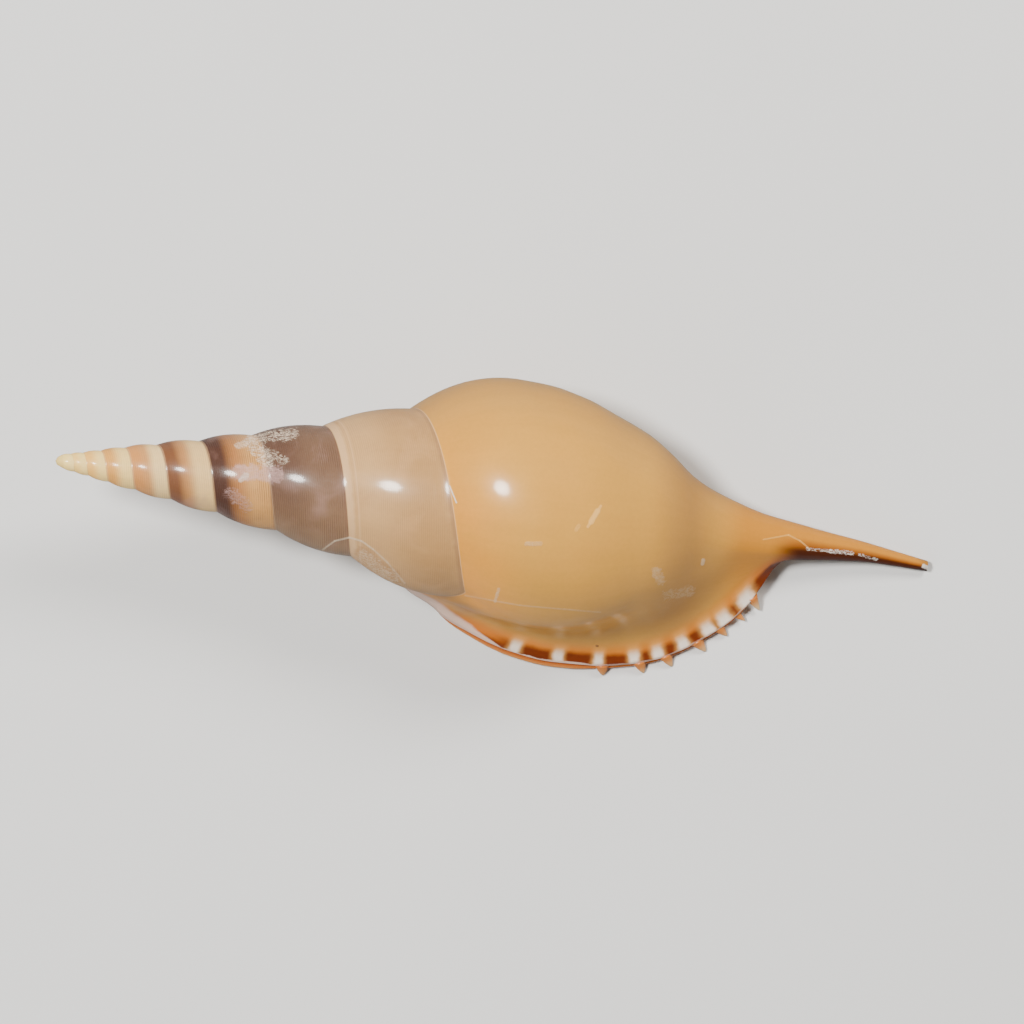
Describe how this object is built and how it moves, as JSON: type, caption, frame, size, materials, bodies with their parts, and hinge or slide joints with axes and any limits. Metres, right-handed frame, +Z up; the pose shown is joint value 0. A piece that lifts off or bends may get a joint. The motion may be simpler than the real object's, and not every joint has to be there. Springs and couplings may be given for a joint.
{
  "type": "sea shell",
  "caption": "Spindle-shaped sea shell with a tall pointed spire, a flared toothed lip and a long narrow siphonal canal.",
  "frame": {"origin": "on the ground, below the middle of the shell's bounding box, as it lies on its belly and its lip", "axes": "+X towards the tip of the siphonal canal, +Y towards the side away from the lip, +Z up"},
  "size_m": [0.1501, 0.0495, 0.0378],
  "materials": {
    "shell": "glossy"
  },
  "bodies": {
    "root": {"tibia_shell": "shell"}
  },
  "joints": []
}
